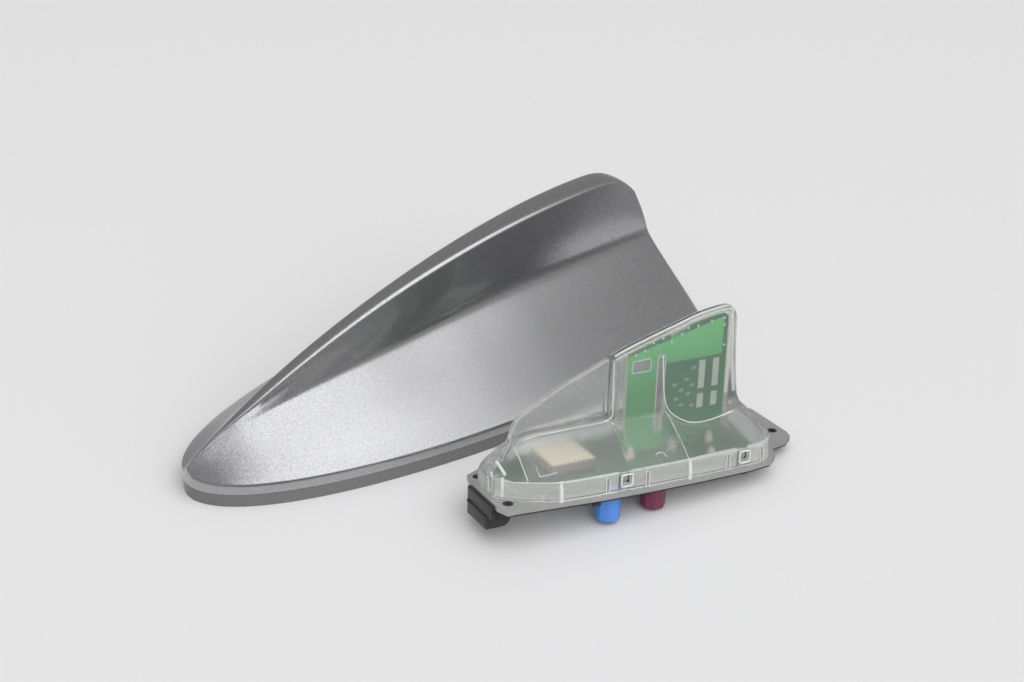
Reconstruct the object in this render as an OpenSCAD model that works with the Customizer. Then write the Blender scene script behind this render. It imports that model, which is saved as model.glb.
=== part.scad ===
// Car roof antenna: the painted fin cover, taken off, and the antenna unit that lies beside it.
// X runs along the painted cover, from its nose to its tail, and Z is up.
// Each piece of the antenna unit is drawn on the unit's own plate: x rearward, y to the far side,
// z up from the plate's top face. unit_pose() then lays the whole unit down as it rests.

/* [Fin cover] */
// Length of the painted cover
cover_len = 191.6; // [180:0.2:210]
// Greatest width of the cover
cover_w = 85; // [80:1:94]
// Height of the ridge over the rim
cover_h = 57.9; // [56:0.1:63]
// Wall thickness of the cover
cover_wall = 2; // [1.6:0.1:2.4]
// Height of the upright lip round the rim
lip_h = 7.7; // [7:0.1:9]
// Height of the lower part of the lip, which is set back
rim_h = 4.4; // [3.6:0.1:5]
// How far that lower part is set back
rim_in = 0.4; // [0.2:0.1:0.6]
// Distance from the nose to the widest station
widest_at = 148; // [140:1:154]
// Distance from the nose to the highest station
peak_at = 161; // [154:1:164]
// Width of the strip along the ridge, where it is widest
ridge_w = 10.2; // [9.6:0.2:11]
// Width of the tail at the rim
tail_w = 51; // [46:1:60]
// How far the top of the tail stands forward of its foot
tail_rake = 12; // [9:0.5:14]
// How far the ridge has dropped where it meets the tail
tail_drop = 7.8; // [5:0.2:9]
// Height at which the steep flank turns into the flared skirt
flank_h = 33.4; // [31:0.1:36]
// Width across the two flanks at that height
flank_w = 13.6; // [12.8:0.2:16]

/* [Base plate] */
// Distance from the front holes to the rear edge of the plate
plate_end = 103.8; // [103:0.1:106]
// Half width of the plate at its front corners
plate_front_hw = 14.4; // [14.2:0.1:15]
// Half width of the plate over its rear half
plate_rear_hw = 18.5; // [18.3:0.1:19]
// Thickness of the plate
plate_t = 1.4; // [1.2:0.1:1.8]
// Half the distance between the two front holes
front_hole_y = 9.65; // [9.5:0.05:10]
// Distance from the front holes to the rear hole
rear_hole_x = 100; // [99.5:0.1:100.5]
// Diameter of the three fixing holes
hole_d = 3; // [2.6:0.1:3.2]
// Thickness of the rubber frame under the plate
seal_t = 0.6; // [0.4:0.1:0.8]
// Width of that frame
seal_w = 1.6; // [1.4:0.1:1.8]

/* [Clear cover] */
// Wall thickness of the clear cover
clear_wall = 1.4; // [1.2:0.1:1.5]
// Height of its upright skirt
skirt_h = 7.4; // [7:0.1:8]
// Height of the shoulder over the main board
dome_h = 16.5; // [15.5:0.1:18]
// Height of the low shoulder beside the rear of the fin
low_dome_h = 10.5; // [10:0.1:11.5]
// Thickness of the clear fin at its foot
fin_w = 6.4; // [6.2:0.1:7]
// Height of the clear fin at its top rear corner
fin_top = 46.3; // [46:0.1:47.5]
// Thickness of the thin web ahead of the fin
web_t = 1.8; // [1.4:0.1:2.2]
// Width of the four snap windows
window_w = 3.2; // [2.8:0.1:3.6]

/* [Boards] */
// Distance from the front holes to the rear edge of the main board
board_end = 84; // [82:0.5:85]
// Half width of the main board over its rear half
board_hw = 14; // [13.6:0.1:14.1]
// Thickness of both boards
board_t = 1.6; // [1.2:0.1:1.8]
// Gap between the plate and the main board
board_gap = 1.4; // [1.2:0.1:1.6]
// Side of the square ceramic patch
patch_side = 14.4; // [13:0.1:15]
// Thickness of the ceramic patch
patch_t = 3.1; // [2.6:0.1:3.6]
// Thickness of the foam pad under the patch
pad_t = 1.4; // [1:0.1:1.8]
// Distance from the front holes to the middle of the patch
patch_x = 23; // [22:0.2:24]
// Distance from the front holes to the fin board's front edge
fin_board_x = 43.6; // [43.2:0.1:44]
// Height of the fin board's top rear corner
fin_board_top = 44; // [43:0.1:44.2]

/* [Connectors] */
// Width of a connector housing
plug_w = 7.2; // [7:0.1:7.6]
// Width of the neck that passes through the plate
neck_d = 5.4; // [5:0.1:5.8]
// How far the blue housing reaches below the plate's top face
blue_reach = 10.8; // [10.4:0.1:10.9]
// How far the red housing reaches below the plate's top face
red_reach = 9.8; // [9.4:0.1:9.9]
// Inner diameter of a socket
socket_d = 5.8; // [5.6:0.1:5.9]
// Outer diameter of the metal sleeve
sleeve_d = 4; // [3.8:0.1:4.4]
// Diameter of the centre pin
pin_d = 0.9; // [0.7:0.1:1]
// Distance from the front holes to the first connector
plug_x = 33; // [32.6:0.1:33.4]
// Distance between the two connectors
plug_pitch = 15.8; // [15.4:0.1:16.2]
// How far the connectors lie toward the near side
plug_y = 11; // [10.6:0.1:11.1]

/* [Resting pose of the unit] */
// Angle between the unit and the cover
unit_turn = 12.7; // [11:0.1:14]
// Angle by which the front of the unit is raised
unit_tilt = 5.2; // [4.8:0.1:5.4]
// Angle by which the near side of the unit is raised
unit_roll = 6.4; // [6:0.1:6.6]
// Distance along the cover from its nose to the unit's front holes
unit_x = 60.6; // [54:0.1:68]
// Distance across from the middle of the cover to the unit's front holes
unit_y = 71.7; // [71:0.1:85]
// Height of the unit's plate at its front holes
unit_z = 13.7; // [13.6:0.1:14.2]

/* [Hidden] */
$fn = 48;
cover_y = 32.7;
gap = 0.3;
plug_floor = 1.2;
paint_grey = [0.45, 0.45, 0.47];
clear_grey = [0.85, 0.88, 0.88, 0.35];
steel_grey = [0.52, 0.52, 0.52];
rubber_black = [0.06, 0.06, 0.06];
board_green = [0.12, 0.42, 0.2];
ceramic_beige = [0.78, 0.72, 0.58];
pale_metal = [0.8, 0.8, 0.78];
plug_blue = [0.1, 0.35, 0.85];
plug_red = [0.4, 0.07, 0.16];
ptfe_white = [0.9, 0.9, 0.88];
gold = [0.85, 0.68, 0.35];
board_z = board_gap;
board_top = board_gap + board_t;
red_x = plug_x + plug_pitch;
window_xs = [35.5, 76.5];
slit_xs = [29.3, 42.5, 70.6, 83.4];
foot_xs = [25.8, 42.5, 77.5];

// Plain helpers
function mix(a, b, t) = a + (b - a) * t;
function ease(t) = let (u = max(0, min(1, t))) u * u * (3 - 2 * u);
function mirrored(half) = concat(half,
    [for (i = [len(half) - 2:-1:0]) [half[i][0], -half[i][1], half[i][2]]]);
function flat_list(a) = [for (r = a) for (p = r) p];
// Triangles of a strip of stations, each with m points
function strip_faces(n, m, o, flip) = [for (i = [0:n - 2]) for (j = [0:m - 2]) for (k = [0, 1])
    let (a = o + i * m + j, b = a + m,
        tri = k == 0 ? [a, b + 1, a + 1] : [a, b, b + 1])
    flip ? [tri[2], tri[1], tri[0]] : tri];
// Level bands that close the end of a loft
function cap_faces(m, o, flip) = [for (j = [0:(m - 1) / 2 - 1])
    let (f = j == (m - 1) / 2 - 1 ? [o + j, o + j + 1, o + m - 1 - j]
        : [o + j, o + j + 1, o + m - 2 - j, o + m - 1 - j])
    flip ? [for (q = [len(f) - 1:-1:0]) f[q]] : f];
// A hollow shell, open below, from outer and inner stations
module shell(outer, inner) {
    n = len(outer);
    m = len(outer[0]);
    o = n * m;
    rim = flat_list([for (i = [0:n - 2]) [
        [i * m, o + (i + 1) * m, (i + 1) * m], [i * m, o + i * m, o + (i + 1) * m],
        [i * m + m - 1, (i + 1) * m + m - 1, o + (i + 1) * m + m - 1],
        [i * m + m - 1, o + (i + 1) * m + m - 1, o + i * m + m - 1]]]);
    front_rim = [[0, o + m - 1, o], [0, m - 1, o + m - 1]];
    r = (n - 1) * m;
    rear_rim = [[r, o + r, o + r + m - 1], [r, o + r + m - 1, r + m - 1]];
    polyhedron(points = concat(flat_list(outer), flat_list(inner)),
        faces = concat(strip_faces(n, m, 0, false), strip_faces(n, m, o, true),
            cap_faces(m, 0, false), cap_faces(m, r, true),
            cap_faces(m, o, true), cap_faces(m, o + r, false),
            rim, front_rim, rear_rim));
}

// Painted cover
function plan_hw(s) = s <= widest_at ? cover_w / 2 * sqrt(1 - pow(1 - s / widest_at, 2))
    : tail_w / 2 + (cover_w - tail_w) / 2
        * pow(max(0, 1 - pow((s - widest_at) / (cover_len - widest_at), 2.2)), 1 / 2.2);
function ridge_z(s) = s <= peak_at
    ? lip_h + 0.5 + (cover_h - lip_h - 0.5) * pow(1 - pow(1 - s / peak_at, 1.75), 0.8)
        + 1.8 * pow(max(0, 1 - s / 24), 1.5)
    : cover_h - tail_drop * pow((s - peak_at) / (cover_len - tail_rake - peak_at), 3);
function lean(b) = tail_rake * ease((b - 0.62 * cover_len) / (0.38 * cover_len));
flank_line = [[0, 0.2], [6, 0.33], [14, 0.44], [20, 0.486], [26, 0.542], [32, 0.593], [45, 0.682],
    [60, 0.76], [80, 0.833], [100, 0.91], [125, 0.968], [160, 0.99], [194, 1], [400, 1]];
flank_taper = [[0, 0.08], [8, 0.17], [14, 0.3], [20, 0.46], [26, 0.62], [32, 0.74], [45, 0.9], [60, 1],
    [400, 1]];
ridge_line = [[0, 0.05], [8, 0.1], [14, 0.17], [20, 0.3], [26, 0.4], [32, 0.465], [45, 0.54], [60, 0.6],
    [80, 0.69], [100, 0.8], [120, 0.895], [140, 0.97], [158, 1], [400, 1]];
stations = concat([for (i = [0:13]) 0.1 + 0.46 * cover_len * pow(i / 13, 2)],
    [for (i = [1:7]) cover_len * (0.46 + 0.36 * i / 7)],
    [for (i = [1:9]) cover_len * (0.82 + 0.18 * i / 9)]);
// One half of a section: width, ridge height, flank line, ridge width, lip height
function cover_half(hw, zt, fv, fz, rw, lz) = concat(
    [[hw - rim_in, 0], [hw - rim_in, lz - lip_h + rim_h], [hw, lz - lip_h + rim_h + 0.2],
        [hw - 0.2, lz - 0.7], [hw - min(0.5, 0.1 * hw), lz - 0.2]],
    [for (t = [0.06, 0.24, 0.44, 0.62, 0.78, 0.9, 0.97])
        [fv + (hw - fv) * pow(1 - t, 1.16), lz + (fz - lz) * t]],
    [[fv - 0.06 * (fv - rw), fz + 0.06 * (zt - fz)], [fv - 0.45 * (fv - rw), fz + 0.45 * (zt - fz)],
        [rw, zt - min(1.6, 0.4 * (zt - fz))], [0.86 * rw, zt - min(0.65, 0.16 * (zt - fz))],
        [0.6 * rw, zt - min(0.2, 0.05 * (zt - fz))], [0, zt]]);
function cover_section(b, t) =
    let (hw = plan_hw(b), zt = ridge_z(b - lean(b)),
        fv = min(flank_w / 2 * lookup(b, flank_taper), 0.28 * hw),
        fz = min(lip_h + (flank_h - lip_h) * lookup(b, flank_line), lip_h + 0.87 * (zt - lip_h)),
        rw = min(ridge_w / 2 * lookup(b, ridge_line), 0.8 * fv),
        zi = max(zt - t, 0.6 * zt),
        half = t == 0 ? cover_half(hw, zt, fv, fz, rw, lip_h)
            : cover_half(max(hw - t, 0.3 * hw), zi, max(fv - t, 0.3 * fv),
                min(fz - 0.5 * t, lip_h + 0.8 * (zi - lip_h)), max(rw - t, 0.25 * rw), lip_h - 0.5 * t))
    mirrored([for (p = half)
        [-cover_len / 2 + (t == 0 ? b : 1.3 * t + b * (1 - 2.3 * t / cover_len)) - lean(b) * pow(p[1] / zt, 1.5),
            p[0], p[1]]]);
module fin_cover() {
    color(paint_grey)
    translate([0, cover_y, 0])
    shell([for (b = stations) cover_section(b, 0)], [for (b = stations) cover_section(b, cover_wall)]);
}

// Lays the antenna unit down beside the cover
module unit_pose() {
    translate([unit_x - cover_len / 2, cover_y - unit_y, unit_z])
    rotate([-unit_roll, unit_tilt, -unit_turn])
    children();
}

// Outline of the base plate, or of a sheet that follows it closer in
module plate_outline(inset) {
    offset(r = 1.2, $fn = 32)
    offset(delta = -1.2 - inset)
    polygon([[-3.9, 7.2], [-3.9, -10.4], [-2.4, -14.6], [plate_front_hw, 0] + [-14.4, -plate_front_hw],
        [14, -plate_front_hw - 1.4], [28, -plate_rear_hw + 1.3], [43, -plate_rear_hw + 0.5],
        [60, -plate_rear_hw], [78, -plate_rear_hw], [86.5, -plate_rear_hw + 0.9], [90, -plate_rear_hw + 3.4],
        [93.6, -8.6], [100, -7.4], [103, -5], [plate_end, -2],
        [plate_end, plate_rear_hw - 0.2], [60, plate_rear_hw], [43, plate_rear_hw - 0.5],
        [28, plate_rear_hw - 1.3], [14, plate_front_hw + 1.4], [2.7, plate_front_hw], [-2.6, 12]]);
}
module base_plate() {
    color(steel_grey)
    unit_pose()
    union() {
        difference() {
            translate([0, 0, -plate_t]) linear_extrude(plate_t) plate_outline(0);
            for (p = [[0, front_hole_y], [0, -front_hole_y], [rear_hole_x, 0.7]])
                translate([p[0], p[1], -plate_t - 1]) cylinder(d = hole_d, h = plate_t + 2);
            for (x = [plug_x, red_x])
                translate([x, -plug_y, -plate_t - 1]) cylinder(d = neck_d + 2 * gap, h = plate_t + 2);
        }
        // Seats under the main board
        for (x = [10, 60, 80]) for (y = [-9.6, 9.6])
            translate([x, y, 0]) cylinder(d = 4, h = board_gap, $fn = 32);
        // Snap posts behind the windows of the clear cover
        on_skirt(window_xs) translate([-1.1, -clear_wall - 1.3, 0]) {
            translate([0, 0, -0.2]) cube([2.2, 0.8, 4.8]);
            translate([0, 0, 2.8]) cube([2.2, 1.4, 1.2]);
        }
    }
}

// Rubber frame under the plate, with its small feet
module seal_frame() {
    color(rubber_black)
    unit_pose()
    union() {
        translate([0, 0, -plate_t - seal_t])
        linear_extrude(seal_t)
        difference() {
            plate_outline(0.3);
            plate_outline(0.3 + seal_w);
        }
        for (x = foot_xs) for (m = [-1, 1])
            translate([x - 1.2, m * (plate_rear_hw - 2.2) - 0.7, -plate_t - seal_t - 0.9])
            cube([2.4, 1.4, 1]);
    }
}

// Black hook block under the front edge
module front_hook() {
    color(rubber_black)
    unit_pose()
    union() {
        translate([-3.6, -6.2, -5]) cube([5.2, 12.4, 5 - plate_t - seal_t]);
        translate([-4.9, -9.2, -5]) cube([1, 16, 4.6]);
        translate([-5.2, -6.2, -9.2]) cube([5.4, 12.4, 4.4]);
        translate([0.2, 6.2, -6.4]) rotate([90, 0, 0]) cylinder(r = 2.8, h = 12.4);
    }
}

// Clear cover: heights and widths along the unit
skirt_line = [[-3, 0.23], [-1.4, 0.33], [0, 0.405], [1, 0.445], [2.4, 0.54], [5.2, 0.63], [9, 0.73],
    [11.6, 0.8], [14.3, 0.86], [20, 0.9], [28, 0.93], [43, 0.97], [60, 1], [76, 1], [83, 0.97],
    [86, 0.9], [88.4, 0.76], [90, 0.62], [91.2, 0.48]];
function skirt_hw(s) = (plate_rear_hw - 0.7) * lookup(s, skirt_line);
ledge_line = [[-3, 0.38], [0, 0.46], [3, 0.6], [6, 0.86], [9, 0.97], [13, 1], [50, 1]];
low_line = [[55, 1], [57, 0.94], [59.5, 0.55], [62.5, 0.22], [66.6, 0.02], [72, 0], [78.5, 0.03],
    [82, 0.22], [85, 0.3]];
function ledge_z(s) = s <= 55 ? dome_h * lookup(s, ledge_line)
    : s <= 85 ? low_dome_h + (dome_h - low_dome_h) * lookup(s, low_line)
    : mix(low_dome_h + 0.3 * (dome_h - low_dome_h), skirt_h - 0.6, ease((s - 85) / 6.2));
crest_line = [[-3, 0.142], [0, 0.2], [4.2, 0.275], [5, 0.36], [5.8, 0.425], [6.8, 0.468], [10.8, 0.515],
    [14.7, 0.558], [20, 0.62], [27.1, 0.683], [37.5, 0.77], [39.2, 0.778], [42.9, 0.808], [48.9, 0.85],
    [56.4, 0.898], [62, 0.932], [66.8, 0.964], [72, 0.986], [76, 0.997], [78.6, 1], [79.8, 0.993],
    [80.5, 0.975], [80.9, 0.94], [81.1, 0.84], [81.9, 0.587], [83.1, 0.38], [84.2, 0.325],
    [85.7, 0.288], [87.6, 0.25], [89.2, 0.2], [90.4, 0.167], [91.2, 0.148]];
function crest_z(s) = max(fin_top * lookup(s, crest_line), ledge_z(s) + 0.2);
clear_stations = [-3, -1.4, 0.2, 1.8, 3.4, 4.2, 5, 5.8, 6.8, 9, 11.6, 14.3, 18, 23, 30, 37.2, 37.8,
    39.2, 42.9, 48.9, 52, 54.4, 55.6, 57, 59.5, 62.5, 66.6, 72, 76, 78.6, 79.8, 80.5, 80.9, 81.1, 81.9,
    83.1, 84.2, 85.7, 87.6, 89.2, 90.4, 91.2];
// Half thickness of the fin or the web at its foot and at its top
function blade_foot(s) = s < 37.5 ? web_t / 2 : s < 55 ? fin_w / 2 : s < 83 ? fin_w / 2 - 0.7
    : fin_w / 2 - 0.7 + 0.6 * (s - 83);
function blade_top(s) = s < 37.5 ? web_t / 2 : 0.33 * fin_w;
function clear_half(hs, sk, lv, lz, bf, bt, zt) = concat(
    [[hs, 0], [hs, sk - 0.7], [hs - 0.5, sk]],
    [for (t = [0.25, 0.5, 0.75]) [hs - 0.5 + (lv - hs + 0.5) * t, sk + (lz - 0.25 - sk) * (t + 0.18 * t * (1 - t))]],
    [[lv, lz - 0.25], [bf + 0.3 * (lv - bf), lz - 0.05], [bf, lz + 0.12 * (zt - lz)],
        [bt + 0.5 * (bf - bt), lz + 0.5 * (zt - lz)], [bt, zt - 0.4 * min(1, 0.5 * (zt - lz))],
        [0.6 * bt, zt - 0.1 * min(1, 0.3 * (zt - lz))], [0, zt]]);
function clear_section(s, t) =
    let (hs = skirt_hw(s), lz = ledge_z(s), zt = crest_z(s), bf = min(blade_foot(s), 0.45 * hs),
        bt = min(blade_top(s), bf), sk = min(skirt_h - 1.1, lz - 0.6),
        lv = min(bf + 1.6, 0.6 * hs),
        fin_in = s > 38 && s < 81.5,
        half = t == 0 ? clear_half(hs, sk, lv, lz, bf, bt, zt)
            : clear_half(hs - t, sk - 0.55 * t, max(lv - 0.6 * t, 0.6), lz - t,
                fin_in ? bf - 0.8 * t : 0.5 * min(bf, lv - 0.6 * t), fin_in ? bt - 0.75 * t : 0.2,
                fin_in ? zt - 1.2 : lz - t + 0.2))
    mirrored([for (p = half) [t == 0 ? s : inner_x(s, t), p[0], p[1]]]);
function inner_x(s, t) = s < 20 ? s + t * (1 - ease((s + 3) / 23)) : s > 82 ? s - t
    : s > 37.5 && s < 41 ? s + t : s > 76 ? s - t * (s - 76) / 6 : s;
// Places children on the near and the far wall of the skirt, y pointing out of the wall
module on_skirt(xs) {
    for (x = xs) for (m = [0, 1])
        mirror([0, m, 0]) translate([x, skirt_hw(x), 0]) children();
}
module clear_cover() {
    color(clear_grey)
    unit_pose()
    difference() {
        union() {
            shell([for (s = clear_stations) clear_section(s, 0)],
                [for (s = clear_stations) clear_section(s, clear_wall)]);
            // Raised rims of the snap windows
            on_skirt(window_xs) translate([-window_w / 2 - 0.8, -0.6, 1.3]) cube([window_w + 1.6, 1, 4.6]);
            // Gussets
            on_skirt([14.4, 57]) translate([-0.6, 0, 0]) rotate([90, 0, 90]) linear_extrude(1.2)
                polygon([[-0.8, 0], [0.6, 0], [0.6, 2.6], [-0.3, skirt_h - 0.8], [-0.8, skirt_h - 1.2]]);
        }
        // Snap windows
        on_skirt(window_xs) translate([-window_w / 2, -clear_wall - 1, 2.1])
            cube([window_w, clear_wall + 2, 3]);
        // Slits beside the snap tabs
        on_skirt(slit_xs) translate([-0.4, -clear_wall - 1, -1]) cube([0.8, clear_wall + 2, 6]);
    }
}

// Main board
module main_board() {
    color(board_green)
    unit_pose()
    translate([0, 0, board_z])
    linear_extrude(board_t)
    offset(r = 1.5, $fn = 32)
    offset(delta = -1.5)
    polygon([[3.5, -6.6], [8, -9.6], [14, -11.6], [22, -12.8], [34, -board_hw + 0.4], [50, -board_hw],
        [board_end, -board_hw + 0.6], [board_end, board_hw - 0.6], [50, board_hw], [34, board_hw - 0.4],
        [22, 12.8], [14, 11.6], [8, 9.6], [3.5, 6.6]]);
}

// Board that stands inside the clear fin
module fin_board() {
    k = fin_board_top / 44;
    color(board_green)
    unit_pose()
    translate([0, board_t / 2, 0])
    rotate([90, 0, 0])
    linear_extrude(board_t)
    difference() {
        polygon([[fin_board_x, board_top], [fin_board_x, 35.6 * k], [fin_board_x + 5.4, 37.3 * k],
            [fin_board_x + 14.3, 40.1 * k], [fin_board_x + 14.5, 38.6 * k], [fin_board_x + 21, 40.4 * k],
            [fin_board_x + 21.2, 41.9 * k], [fin_board_x + 28.4, 43.4 * k], [fin_board_x + 33.8, 44 * k],
            [fin_board_x + 34.8, 43.2 * k], [fin_board_x + 35.2, board_top]]);
        translate([fin_board_x + 1.6, 29.6]) square([6.4, 3.8]);
        translate([fin_board_x + 10.4, 9]) square([2.6, 24.6]);
    }
}
module patch_pad() {
    color(rubber_black)
    unit_pose()
    translate([patch_x - patch_side / 2 + 0.2, -patch_side / 2 + 0.2, board_top])
    cube([patch_side - 0.4, patch_side - 0.4, pad_t]);
}
module gps_patch() {
    color(ceramic_beige)
    unit_pose()
    translate([patch_x - patch_side / 2, -patch_side / 2, board_top + pad_t])
    cube([patch_side, patch_side, patch_t]);
}
module patch_electrode() {
    color(pale_metal)
    unit_pose()
    translate([patch_x - patch_side / 2 + 1.1, -patch_side / 2 + 1.1, board_top + pad_t + patch_t])
    cube([patch_side - 2.2, patch_side - 2.2, 0.1]);
}
// Pale contact bars and the small parts on the fin board's near face
module fin_bars() {
    color(pale_metal)
    unit_pose()
    for (x = [fin_board_x + 26.4, fin_board_x + 31.4]) {
        translate([x - 1.1, -board_t / 2 - 0.15, 20.8]) cube([2.2, 0.15, 9.2]);
        translate([x - 1.1, -board_t / 2 - 0.15, 14.4]) cube([2.2, 0.15, 4.6]);
    }
}
module fin_chips() {
    color(rubber_black)
    unit_pose()
    union() {
        for (p = [[16, 23.4], [18.5, 21.2], [21, 19.8], [16.8, 18.6], [20.2, 24.6], [22.2, 22.4], [18.8, 16.4],
            [22.6, 15.6], [22.5, 28]])
            translate([fin_board_x + p[0], -board_t / 2 - 0.25, p[1] - 0.5]) cube([1.6, 0.25, 1]);
    }
}
module solder_joints() {
    color(pale_metal)
    unit_pose() {
        for (x = [fin_board_x + 1.3, fin_board_x + 16.4, fin_board_x + 29.6])
            translate([x, -board_t / 2 - 1.6, board_top]) cylinder(r1 = 1.5, r2 = 0.7, h = 2.6, $fn = 24);
        translate([fin_board_x + 25.4, -10.5, board_top]) cylinder(r1 = 1.4, r2 = 0.8, h = 1.4, $fn = 24);
    }
}

// One keyed coaxial connector, pointing down through the plate
module plug_at(x) {
    unit_pose()
    translate([x, -plug_y, 0])
    children();
}
module plug_housing(reach, key_turn, collar) {
    difference() {
        union() {
            translate([0, 0, -reach]) rotate(22.5)
                cylinder(d = plug_w / cos(22.5), h = reach - plate_t, $fn = 8);
            translate([0, 0, -plate_t - 0.1]) cylinder(d = neck_d, h = plate_t + board_gap + 0.1);
            rotate(key_turn) translate([plug_w / 2 - 0.4, -0.6, -plate_t - 3]) cube([2.6, 1.2, 3]);
            translate([0, 0, -plate_t - 2]) cylinder(d = plug_w + collar, h = 2);
        }
        translate([0, 0, -reach - 1]) cylinder(d = socket_d, h = reach - plate_t - plug_floor + 1);
    }
}
module plug_sleeve(reach) {
    translate([0, 0, -reach + 1.5])
    difference() {
        cylinder(d = sleeve_d, h = reach - plate_t - plug_floor - 1.5);
        translate([0, 0, -1]) cylinder(d = sleeve_d - 0.8, h = reach);
    }
}
module plug_insulator(reach) {
    translate([0, 0, -plate_t - plug_floor - 3.5])
    difference() {
        cylinder(d = sleeve_d - 1.4, h = 3.5);
        translate([0, 0, -1]) cylinder(d = pin_d + 0.6, h = 6);
    }
}
module plug_pin(reach) {
    translate([0, 0, -reach + 2.5]) cylinder(d = pin_d, h = reach - plate_t - plug_floor - 2.5, $fn = 24);
}
module blue_housing() {
    color(plug_blue) plug_at(plug_x) plug_housing(blue_reach, -10, 0);
}
module blue_sleeve() {
    color(pale_metal) plug_at(plug_x) plug_sleeve(blue_reach);
}
module blue_insulator() {
    color(ptfe_white) plug_at(plug_x) plug_insulator(blue_reach);
}
module blue_pin() {
    color(gold) plug_at(plug_x) plug_pin(blue_reach);
}
module red_housing() {
    color(plug_red) plug_at(red_x) plug_housing(red_reach, -10, 1.4);
}
module red_sleeve() {
    color(pale_metal) plug_at(red_x) plug_sleeve(red_reach);
}
module red_insulator() {
    color(ptfe_white) plug_at(red_x) plug_insulator(red_reach);
}
module red_pin() {
    color(gold) plug_at(red_x) plug_pin(red_reach);
}

fin_cover();
clear_cover();
base_plate();
seal_frame();
front_hook();
main_board();
fin_board();
patch_pad();
gps_patch();
patch_electrode();
fin_bars();
fin_chips();
solder_joints();
blue_housing();
blue_sleeve();
blue_insulator();
blue_pin();
red_housing();
red_sleeve();
red_insulator();
red_pin();
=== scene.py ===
import bpy, bmesh, math
from mathutils import Vector, Matrix, Euler


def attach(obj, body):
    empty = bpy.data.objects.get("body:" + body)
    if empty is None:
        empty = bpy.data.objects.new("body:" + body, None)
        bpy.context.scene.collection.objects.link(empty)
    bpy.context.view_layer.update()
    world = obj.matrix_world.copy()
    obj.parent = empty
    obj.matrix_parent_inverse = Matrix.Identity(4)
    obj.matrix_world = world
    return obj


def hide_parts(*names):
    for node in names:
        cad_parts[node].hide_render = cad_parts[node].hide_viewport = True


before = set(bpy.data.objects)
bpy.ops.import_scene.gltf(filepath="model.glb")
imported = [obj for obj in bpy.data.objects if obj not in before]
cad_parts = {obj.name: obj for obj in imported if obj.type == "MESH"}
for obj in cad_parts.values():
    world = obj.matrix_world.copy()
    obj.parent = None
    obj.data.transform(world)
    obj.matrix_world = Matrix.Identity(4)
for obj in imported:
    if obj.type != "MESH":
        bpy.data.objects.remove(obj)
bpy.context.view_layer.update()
scene = bpy.context.scene
print("stage: frame loaded")

# The antenna unit's own axes: x rearward, y to the far side, z up from its plate, in millimetres
unitPose = {"turn": -12.7, "tilt": 5.2, "roll": -6.4, "x": -35.2, "y": -39.0, "z": 13.7}
unitTurn = Euler([math.radians(unitPose[k]) for k in ("roll", "tilt", "turn")], "XYZ")
unitPlace = Vector((unitPose["x"], unitPose["y"], unitPose["z"]))
unitMatrix = Matrix.Scale(0.001, 4) @ Matrix.Translation(unitPlace) @ unitTurn.to_matrix().to_4x4()
toMetres = Matrix.Scale(0.001, 4)


# Small helpers for values along a length
def ease(t):
    t = max(0.0, min(1.0, t))
    return t * t * (3 - 2 * t)


def mix(a, b, t):
    return a + (b - a) * t


def follow(line, s):
    # a smooth curve through the pairs of a line, with no overshoot
    if s <= line[0][0]:
        return line[0][1]
    if s >= line[-1][0]:
        return line[-1][1]
    i = max(k for k in range(len(line) - 1) if line[k][0] <= s)
    step = [(q[1] - p[1]) / (q[0] - p[0]) for p, q in zip(line, line[1:])]

    def slope(k):
        if k == 0:
            return step[0]
        if k == len(line) - 1:
            return step[-1]
        a, b = step[k - 1], step[k]
        return 0 if a * b <= 0 else 2 * a * b / (a + b)

    (x0, y0), (x1, y1) = line[i], line[i + 1]
    h = x1 - x0
    t = (s - x0) / h
    m0, m1 = slope(i) * h, slope(i + 1) * h
    start = (2 * t**3 - 3 * t**2 + 1) * y0 + (t**3 - 2 * t**2 + t) * m0
    return start + (3 * t**2 - 2 * t**3) * y1 + (t**3 - t**2) * m1


def soften(path, radii, count):
    # rounds the corners of a path of (across, height) points
    out = [Vector(path[0])]
    for i in range(1, len(path) - 1):
        p, a, b = Vector(path[i]), Vector(path[i - 1]), Vector(path[i + 1])
        if radii[i] <= 0:
            out.append(p)
            continue
        r = min(radii[i], 0.45 * (a - p).length, 0.45 * (b - p).length)
        start, end = p + (a - p).normalized() * r, p + (b - p).normalized() * r
        for k in range(count):
            t = k / (count - 1)
            out.append(start * (1 - t) ** 2 + p * 2 * t * (1 - t) + end * t * t)
    out.append(Vector(path[-1]))
    return out


# Mesh helpers
def finish(name, bm, material, replaced=(), matrix=toMetres, smooth=35):
    bmesh.ops.transform(bm, matrix=matrix, verts=bm.verts)
    mesh = bpy.data.meshes.new(name)
    bm.to_mesh(mesh)
    bm.free()
    piece = bpy.data.objects.new(name, mesh)
    scene.collection.objects.link(piece)
    mesh.materials.append(material)
    if smooth:
        mesh.shade_smooth()
        with bpy.context.temp_override(object=piece, active_object=piece,
                                       selected_editable_objects=[piece]):
            bpy.ops.object.shade_smooth_by_angle(angle=math.radians(smooth))
    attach(piece, "root")
    if replaced:
        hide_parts(*replaced)
    return piece


def loftChain(bm, points):
    verts = [bm.verts.new(p) for p in points]
    return verts, [bm.edges.new((a, b)) for a, b in zip(verts, verts[1:])]


def loftSurface(bm, sections):
    # each section runs from the near rim over the top to the far rim
    chains = [loftChain(bm, s) for s in sections]
    for a, b in zip(chains, chains[1:]):
        bmesh.ops.bridge_loops(bm, edges=a[1] + b[1])
    for verts, edges in (chains[0], chains[-1]):
        half = len(edges) // 2
        near, far = edges[:half - 1], edges[half + 1:]
        bmesh.ops.bridge_loops(bm, edges=near + far)
        bmesh.ops.contextual_create(bm, geom=verts[half - 1:half + 2])
    return chains


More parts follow.
